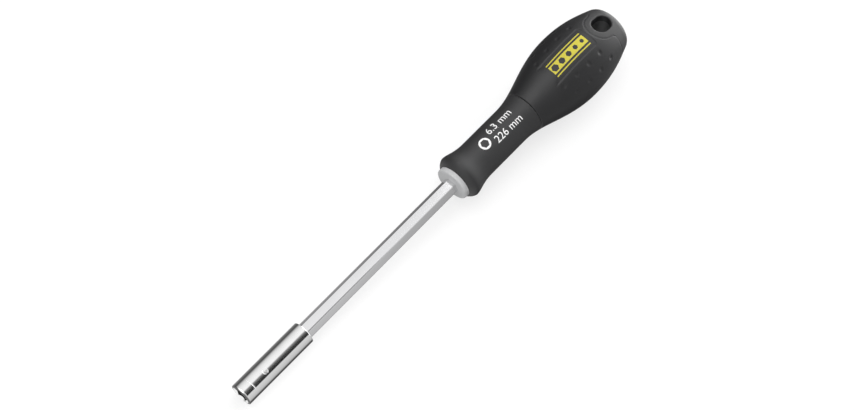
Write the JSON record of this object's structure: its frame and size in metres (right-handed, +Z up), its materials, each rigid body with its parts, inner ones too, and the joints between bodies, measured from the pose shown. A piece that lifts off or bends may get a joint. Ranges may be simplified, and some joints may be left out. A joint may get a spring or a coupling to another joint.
{
  "type": "bit holder screwdriver",
  "caption": "Bit holder screwdriver with a bulb handle, grey collar and hang slot, a hexagon shaft and a steel sleeve whose magnetic hexagon socket takes quarter-inch bits.",
  "frame": {"origin": "on the tool's axis, in the plane of the bit socket's mouth", "axes": "+X along the tool's axis from the mouth to the tail of the handle, +Z up through the label side and the hang slot"},
  "size_m": [0.226, 0.032, 0.0316],
  "materials": {
    "plated_shaft": "satin bright plating",
    "polished_sleeve": "polished stainless",
    "magnet": "nickel plated",
    "spring_wire": "drawn spring wire",
    "grey_core": "satin light grey",
    "black_hard": "fine moulded texture",
    "black_soft": "soft matt moulding"
  },
  "bodies": {
    "tool": {"hex_shaft": "plated_shaft", "bit_sleeve": "polished_sleeve", "magnet": "magnet", "handle_core": "grey_core", "neck_sleeve": "black_hard", "grip": "black_soft", "tail_cap": "black_hard"},
    "ring": {"retaining_ring": "spring_wire"}
  },
  "joints": [
    {"name": "ring_turn", "type": "hinge", "parent": "tool", "child": "ring", "pos_m": [0.0053, 0, 0], "axis": [1, 0, 0], "continuous": true}
  ]
}
